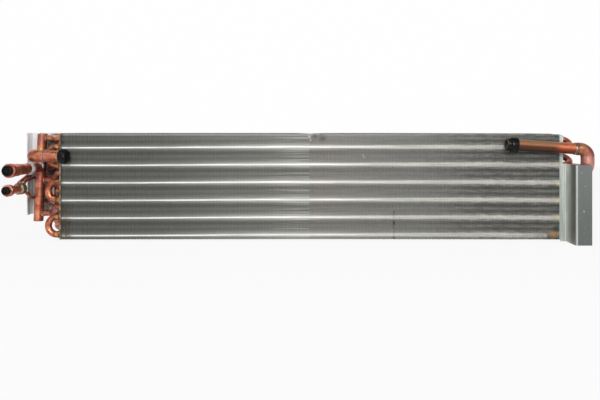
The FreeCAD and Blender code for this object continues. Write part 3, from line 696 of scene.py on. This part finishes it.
def fin_piece(index, look, source):
    """A pack of thin fins with slightly wavy edges, each one a closed plate."""
    vertices, faces = [], []
    step = (2 * FIN_END - 2 * FIN_THICKNESS) / (FIN_COUNT - 1)
    shares = [share / FIN_STEPS for share in range(FIN_STEPS + 1)]
    depths = [0.0, 0.0012, CORE_GROOVE + 0.0004]
    depths += [REAR - FRONT - depth for depth in depths[::-1]]
    rows, columns = len(shares), len(depths)
    sheet = rows * columns
    for number in range(index * FINS_PER_PIECE, min((index + 1) * FINS_PER_PIECE, FIN_COUNT)):
        x = -FIN_END + FIN_THICKNESS + number * step
        lean = source.uniform(-FIN_LEAN, FIN_LEAN)
        wave = source.uniform(0, 2 * math.pi)
        base = len(vertices)
        for face in (-0.5, 0.5):
            for share in shares:
                z = fin_top(x) * share
                for column, depth in enumerate(depths):
                    edge = {0: 1.0, 1: 0.6, columns - 2: 0.6, columns - 1: 1.0}.get(column, 0.0)
                    sway = edge * (lean + bend_of_fin(x, z) + FIN_WAVE * math.sin(z * 160 + wave))
                    sway = min(max(sway, -FIN_END + FIN_THICKNESS / 2 - x), FIN_END - FIN_THICKNESS / 2 - x)
                    vertices.append((x + face * FIN_THICKNESS + sway, FRONT + depth, z))
        for row in range(rows - 1):
            for column in range(columns - 1):
                a = base + row * columns + column
                faces.append((a, a + columns, a + columns + 1, a + 1))
                b = a + sheet
                faces.append((b, b + 1, b + columns + 1, b + columns))
            for column in (0, columns - 1):
                a = base + row * columns + column
                faces.append((a, a + sheet, a + sheet + columns, a + columns))
        for column in range(columns - 1):
            for row in (0, rows - 1):
                a = base + row * columns + column
                faces.append((a, a + sheet, a + sheet + 1, a + 1))
    return piece(f"fins_{index + 1}", vertices, faces, look)


def core_profile(top):
    """The core's outline in Y and Z: its front and rear bulge a little at each tube."""
    front, rear = [], []
    for row, side, line in ((FRONT_ROW, 1, front), (HEATER_ROW, -1, rear)):
        face = (FRONT if side > 0 else REAR) + side * CORE_GROOVE
        line.append((face, CORE_FOOT))
        for number in range(TUBES_PER_ROW, 0, -1):
            centre = tube_height(row, number)
            for turn in range(-4, 5):
                angle = math.pi / 2 * turn / 4
                z = centre + RIDGE_HALF_HEIGHT * math.sin(angle)
                if CORE_FOOT + 0.0002 < z < top - 0.0003:
                    line.append((face - side * RIDGE_STAND_OUT * math.cos(angle), z))
        line.append((face, top))
    return front + rear[::-1]


def fin_core(look):
    """What shows between the fins: an extrusion whose top steps down at the crushed corner."""
    full = FIN_TOP - CORE_DROP
    stations = [(-FIN_END, full), (FIN_END - CORNER_LENGTH - 0.004, full), (FIN_END, full - 0.0044)]
    profile = core_profile(full)
    count = len(profile)
    vertices = [(x, y, min(z, top)) for x, top in stations for y, z in profile]
    faces = []
    for step in range(len(stations) - 1):
        for index in range(count):
            a, b = step * count + index, step * count + (index + 1) % count
            faces.append((a, b, b + count, a + count))
    faces.append(tuple(range(count)))
    faces.append(tuple(range((len(stations) - 1) * count, len(stations) * count)))
    return piece("fin_core", vertices, faces, look, 60.0)


def bead(name, centre, axis, radius, size, look, unevenness=0.025):
    """A bead of braze or solder round a joint, a little uneven: size is its width and height."""
    width, height = size
    source = random.Random(name)
    waves = [(count, source.uniform(0, 2 * math.pi), source.uniform(0.3, 1.0) * unevenness)
             for count in (2, 3, 5, 8)]

    def uneven(angle, step):
        bulge = sum(size * math.sin(count * angle + turn) for count, turn, size in waves)
        return 1.0 + (bulge if 0 < step < 6 else 0.0)

    sink = 0.0003 + radius * unevenness * 1.5
    stations = [((share - 0.5) * width, radius - sink + (height + sink) * math.sin(math.pi * share) ** 0.6)
                for share in [0.0, 0.1, 0.28, 0.5, 0.72, 0.9, 1.0]]
    return lathe(name, Vector(centre), axis, stations, look, 32, uneven)


# Build

def dress_nodes(looks):
    """Gives every node of the part its material."""
    families = (
        ("tube_sheet", "plate"), ("bracket_right", "bracket_right"), ("bracket_left", "bracket_left"),
        ("distributor", "brass"), ("heater_cap", "plastic"), ("heater_plug", "plastic"),
        ("suction_plug", "plastic"), ("liquid_plug", "plastic"), ("heater_pipe_right", "right_pipe"),
        ("heater_elbow_upper", "right_pipe"), ("heater_elbow_lower", "right_pipe"),
        ("heater_header", "header"), ("heater_leg", "header"), ("heater_elbow_left", "left_pipe"),
        ("heater_pipe_left", "left_pipe"), ("suction_header", "suction_header"),
        ("suction_pipe", "suction"), ("suction_sleeve", "suction"), ("suction_branch", "branch"),
        ("liquid_inlet", "suction"), ("capillary", "capillary"),
    )
    for name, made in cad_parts.items():
        key = next((key for start, key in families if name.startswith(start)), "bends")
        made.data.materials.clear()
        made.data.materials.append(looks[key])


def make_looks():
    pink = colour(206, 112, 106)
    left_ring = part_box("heater_elbow_left")[1].x
    left_front = middle("heater_pipe_left") - Vector((0, PIPE_RADIUS, 0))
    header_low, header_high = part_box("suction_header")
    branch_front = tube_y(SECOND_ROW) - TUBE_RADIUS
    top_branch = tube_height(SECOND_ROW, 1)
    return {
        # The fins' greys are raised by a gain, more on the plates than on the core: painted light that makes
        # up for the shade between the fins.
        "fin_plates": fin_metal("fin_plates", 2.2, 0.2, 0.45),
        "fin_core": fin_metal("fin_core", 1.6, 0.0, 0.5),
        "bends": bend_copper(),
        "plastic": black_plastic(),
        "brass": brass(),
        "gold": solder("yellow_braze", colour(214, 158, 108), colour(134, 84, 54)),
        "silver": solder("silver_solder", colour(252, 248, 250), colour(206, 192, 196), 0.3, 0.1),
        "flux": solder("dull_solder", colour(168, 142, 124), colour(108, 84, 72), 0.4),
        "plate": end_plate_metal(),
        "bracket_right": right_bracket_metal(),
        "bracket_left": left_bracket_metal(),
        "capillary": copper("copper_capillary", colour(220, 140, 112), colour(156, 84, 66), (), 0.4),
        "header": copper("copper_header", colour(198, 126, 108), colour(148, 84, 68)),
        "branch": copper("copper_branch", colour(206, 132, 112), colour(156, 90, 72), [
            ((-FIN_END - 0.031, branch_front, top_branch), 0.030, colour(236, 178, 132), 0.85),
        ], 0.5),
        # The suction pipe's copper is painted lighter than the other copper: painted light on pipes that lie
        # in shade.
        "suction": copper("copper_suction", colour(248, 180, 152), colour(200, 116, 94), (), 0.25),
        "suction_header": copper("copper_suction_header", colour(236, 154, 122), colour(190, 106, 80), [
            ((header_high.x - 0.006, header_low.y, header_high.z - 0.006), 0.018, colour(172, 106, 98), 0.9),
            ((header_high.x - 0.006, header_low.y, 0.130), 0.007, colour(226, 170, 96), 0.9),
            ((header_low.x + 0.010, header_low.y, 0.086), 0.012, colour(206, 124, 122), 0.7),
            ((header_low.x + 0.012, header_low.y, 0.102), 0.008, colour(104, 30, 28), 0.9),
        ]),
        "left_pipe": copper("copper_left_pipe", colour(222, 152, 116), colour(188, 108, 80), [
            (left_front + Vector((left_ring + 0.006 - left_front.x, 0, 0)), 0.0075, pink, 0.7),
            (left_front + Vector((left_ring - 0.022 - left_front.x, 0, 0)), 0.012, colour(150, 84, 62), 0.6),
        ]),
        "right_pipe": right_pipe_copper(),
    }


def build_fins(looks):
    source = random.Random(12)
    for index in range(math.ceil(FIN_COUNT / FINS_PER_PIECE)):
        fin_piece(index, looks["fin_plates"], source)
    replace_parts(fin_core(looks["fin_core"]), "fin_pack")


def suction_header_x(z):
    """The suction header leans: its axis at a height."""
    low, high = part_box("suction_header")
    radius = (high.y - low.y) / 2
    share = (z - low.z) / (high.z - low.z)
    return low.x + radius + share * (high.x - low.x - 2 * radius)


def build_core_beads(looks):
    """Beads at the core's left tube ends, and where the heater's tubes enter its headers."""
    gold, silver = looks["gold"], looks["silver"]
    for row in range(ROWS):
        for number in range(1, TUBES_PER_ROW + 1):
            y, z = tube_y(row), tube_height(row, number)
            if row == HEATER_ROW and number in (1, TUBES_PER_ROW):
                place = (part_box("heater_header_left")[1].x, y, z)
                bead(f"entry_bead_{number}", place, (1, 0, 0), TUBE_RADIUS, ENTRY_BEAD, gold)
            elif row == THIRD_ROW and number % 2:
                place = (-BELL_FACE - SPUN_LENGTH, y, z)
                bead(f"spun_bead_{number}", place, (1, 0, 0), CAPILLARY_RADIUS, SPUN_BEAD, silver)
            else:
                place = (-BELL_FACE - 0.0004, y, z)
                bead(f"bell_bead_{row + 1}_{number}", place, (1, 0, 0), TUBE_RADIUS, BELL_BEAD, gold)
    for number in (3, 4):
        place = (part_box("heater_header_right")[0].x, tube_y(HEATER_ROW), tube_height(HEATER_ROW, number))
        bead(f"right_entry_bead_{number}", place, (1, 0, 0), TUBE_RADIUS, ENTRY_BEAD, gold)


def build_pipe_beads(looks):
    """Beads round the joints of the two heater pipes."""
    left_end = along(middle("heater_pipe_left"), LEFT_HEADING, 0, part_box("heater_elbow_left")[1].x)
    bead("left_pipe_bead", left_end, LEFT_HEADING, PIPE_RADIUS, PIPE_BEAD, looks["flux"], PIPE_UNEVENNESS)
    for name, leg, joined, end in (
        ("left_leg_bead", "heater_leg_left", "heater_elbow_left", 1),
        ("right_leg_bead", "heater_leg_right", "heater_elbow_lower_right", 1),
        ("left_header_bead", "heater_leg_left", "heater_header_left", 0),
        ("right_header_bead", "heater_leg_right", "heater_header_right", 0),
    ):
        centre = middle(leg)
        place = (centre.x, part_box(joined)[end].y, centre.z)
        bead(name, place, (0, 1, 0), PIPE_RADIUS, PIPE_BEAD, looks["gold"], PIPE_UNEVENNESS)
    elbow_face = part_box("heater_elbow_upper_right")[0].x
    right_end = along(middle("heater_pipe_right"), RIGHT_HEADING, 0, elbow_face) + RIGHT_HEADING * 0.0024
    bead("right_pipe_bead", right_end, RIGHT_HEADING, PIPE_RADIUS, (0.0042, 0.0008), looks["flux"],
         PIPE_UNEVENNESS)


def build_suction_beads(looks):
    """Silver solder and braze at the joints of the suction header and the liquid inlet."""
    sleeve = middle("suction_sleeve")
    low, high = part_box("suction_header")
    sleeve_back = along(sleeve, SUCTION_HEADING, 1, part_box("suction_sleeve")[1].y)
    bead("sleeve_bead", sleeve_back, SUCTION_HEADING, PIPE_RADIUS, (0.0022, 0.0007), looks["flux"],
         PIPE_UNEVENNESS)
    outlet = along(sleeve, SUCTION_HEADING, 1, FRONT + 0.019)
    bead("outlet_bead", outlet + Vector((0.0006, 0, -0.0004)), SUCTION_HEADING, PIPE_RADIUS,
         (0.012, 0.0014), looks["silver"], RUN_UNEVENNESS)
    bead("header_bead", outlet + Vector((0.0054, 0.0225, 0.0026)), SUCTION_HEADING, PIPE_RADIUS - 0.0024,
         (0.004, 0.0012), looks["silver"], RUN_UNEVENNESS)
    radius = (high.y - low.y) / 2
    for number, drop in ((1, 0.0), (3, BRANCH_DROP), (5, BRANCH_DROP)):
        z = tube_height(SECOND_ROW, number) - drop
        place = (suction_header_x(z) + radius + 0.0003, low.y + radius, z)
        bead(f"branch_bead_{number}", place, (1, 0, 0), TUBE_RADIUS, BELL_BEAD, looks["gold"])
    inlet = middle("liquid_inlet")
    brass_low, brass_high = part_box("distributor")
    nose = along(inlet, LIQUID_HEADING, 1, brass_low.y)
    bead("inlet_bead", nose, LIQUID_HEADING, 0.0060, (0.0024, 0.0007), looks["gold"])
    tail = along(inlet, LIQUID_HEADING, 1, brass_high.y)
    lathe("tail_solder", tail, LIQUID_HEADING, [
        (0.0008, 0.0026), (0.0010, 0.0046), (0.0028, 0.0068), (0.0046, 0.0086), (0.0056, 0.0089),
        (0.0060, 0.0080),
    ], looks["silver"], shape=lambda angle, step: 1 + 0.025 * math.sin(3 * angle + step))


def build_caps(looks):
    """The black caps and plugs, with ribs, lips and recesses."""
    plastic = looks["plastic"]
    bore = PIPE_RADIUS + 0.0001

    def left_ribs(angle, step):
        return 1.0 - 0.022 * (0.5 + 0.5 * math.cos(12 * angle)) if 2 < step < 8 else 1.0

    def right_ribs(angle, step):
        return 1.0 - 0.016 * (0.5 + 0.5 * math.cos(14 * angle)) if 4 < step < 9 else 1.0

    left = lathe("cap_left", middle("heater_cap_left") - LEFT_HEADING * 0.0056, LEFT_HEADING, [
        (0.0092, bore), (0.0, bore), (0.0, 0.0096), (0.0005, 0.0102), (0.0020, 0.0102), (0.0086, 0.0102),
        (0.0098, 0.0097), (0.0108, 0.0088), (0.0112, 0.0078), (0.0112, 0.0060), (0.0104, 0.0056),
        (0.0104, 0.0016), (0.0111, 0.0012), (0.0111, 0.0004),
    ], plastic, 72, left_ribs)
    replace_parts(left, "heater_cap_left")
    right = lathe("cap_right", middle("heater_cap_right") - RIGHT_HEADING * 0.0072, RIGHT_HEADING, [
        (0.0, bore), (0.0, 0.0104), (0.0006, 0.0112), (0.0022, 0.0112), (0.0026, 0.0106), (0.0034, 0.0106),
        (0.0038, 0.0110), (0.0088, 0.0110), (0.0098, 0.0104), (0.0108, 0.0093), (0.0112, 0.0090),
        (0.0138, 0.0090), (0.0144, 0.0086), (0.0144, bore),
    ], plastic, 84, right_ribs, hollow=True)
    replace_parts(right, "heater_cap_right")
    for name, heading, radius in (("suction_plug", SUCTION_HEADING, 0.0076),
                                  ("liquid_plug", LIQUID_HEADING, 0.0059)):
        mouth = middle(name) + heading * 0.001
        stem = radius - 0.0015
        made = lathe(f"{name}_head", mouth, heading, [
            (-0.0060, stem), (0.0001, stem), (0.0001, radius), (0.0028, radius), (0.0035, radius - 0.0003),
            (0.0039, radius - 0.0010), (0.0039, radius - 0.0021), (0.0028, radius - 0.0026),
            (0.0026, radius - 0.0046), (0.0031, radius - 0.0050), (0.0031, 0.0004),
        ], plastic, 56)
        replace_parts(made, name)


def build_stage():
    """A white floor that keeps a soft shadow, and a white wall behind."""
    size, wall_y, wall_height = 3.0, 1.6, 2.4
    floor = PART_FOOT - FLOOR_GAP
    corners = {
        "floor": ([(-size, -size, floor), (size, -size, floor), (size, wall_y, floor),
                   (-size, wall_y, floor)], 0.9),
        "wall": ([(-size, wall_y, floor), (size, wall_y, floor), (size, wall_y, wall_height),
                  (-size, wall_y, wall_height)], 0.99),
    }
    for name, (points, glow_share) in corners.items():
        mesh = bpy.data.meshes.new(name)
        mesh.from_pydata(points, [], [(0, 1, 2, 3)])
        mesh.materials.append(studio_white(name, glow_share))
        plane = bpy.data.objects.new(name, mesh)
        bpy.context.scene.collection.objects.link(plane)


def studio_white(name, glow_share):
    """White where it is seen or reflected: the rest of it takes light and shadow."""
    made, tree, shader, _ = material(f"studio_{name}", 0.0, 0.9)
    shader.inputs["Base Color"].default_value = (0.7, 0.7, 0.7, 1.0)
    glow = node(tree, "ShaderNodeEmission", (1, 1, 1, 1), 1.0)
    path = tree.nodes.new("ShaderNodeLightPath").outputs
    mirrored = math_node(tree, "ADD", path["Is Glossy Ray"], path["Is Transmission Ray"])
    seen = math_node(tree, "ADD", path["Is Camera Ray"], mirrored)
    share = product(tree, math_node(tree, "MINIMUM", seen, 1.0), glow_share)
    blend = tree.nodes.new("ShaderNodeMixShader")
    tree.links.new(share, blend.inputs[0])
    tree.links.new(shader.outputs[0], blend.inputs[1])
    tree.links.new(glow.outputs[0], blend.inputs[2])
    tree.links.new(blend.outputs[0], tree.nodes["Material Output"].inputs[0])
    return made


def area_light(name, place, target, size, power):
    lamp = bpy.data.lights.new(name, "AREA")
    lamp.shape = "RECTANGLE"
    lamp.size, lamp.size_y = size
    lamp.energy = power
    made = bpy.data.objects.new(name, lamp)
    made.location = place
    made.rotation_euler = (Vector(target) - Vector(place)).to_track_quat("-Z", "Y").to_euler()
    bpy.context.scene.collection.objects.link(made)


def build_light():
    world = bpy.data.worlds.new("studio")
    world.use_nodes = True
    world.node_tree.nodes["Background"].inputs[0].default_value = (0.42, 0.42, 0.42, 1.0)
    bpy.context.scene.world = world
    centre = (0.0, -0.04, 0.07)
    area_light("front", (-0.1, -1.9, 0.62), centre, (0.5, 0.3), 15.0)
    area_light("above", (-0.3, -1.1, 1.3), centre, (1.2, 0.6), 6.0)
    area_light("fill", (1.0, -1.3, 0.6), centre, (0.8, 0.8), 5.0)


def build_camera():
    lens = bpy.data.cameras.new("camera")
    lens.sensor_fit = "HORIZONTAL"
    lens.sensor_width = SENSOR_WIDTH
    lens.lens = FOCAL_PIXELS / PHOTO_WIDTH * SENSOR_WIDTH
    lens.shift_x = (PHOTO_WIDTH / 2 - PRINCIPAL_X) / PHOTO_WIDTH
    lens.shift_y = (PRINCIPAL_Y - PHOTO_HEIGHT / 2) / PHOTO_WIDTH
    lens.clip_start = 0.01
    made = bpy.data.objects.new("camera", lens)
    made.location = (0.0, FRONT - CAMERA_DISTANCE, CAMERA_HEIGHT)
    made.rotation_euler = (math.pi / 2, 0.0, 0.0)
    bpy.context.scene.collection.objects.link(made)
    bpy.context.scene.camera = made


looks = make_looks()
dress_nodes(looks)
build_fins(looks)
build_core_beads(looks)
build_pipe_beads(looks)
build_suction_beads(looks)
build_caps(looks)
build_stage()
build_light()
build_camera()
bpy.context.scene.view_settings.view_transform = "Standard"
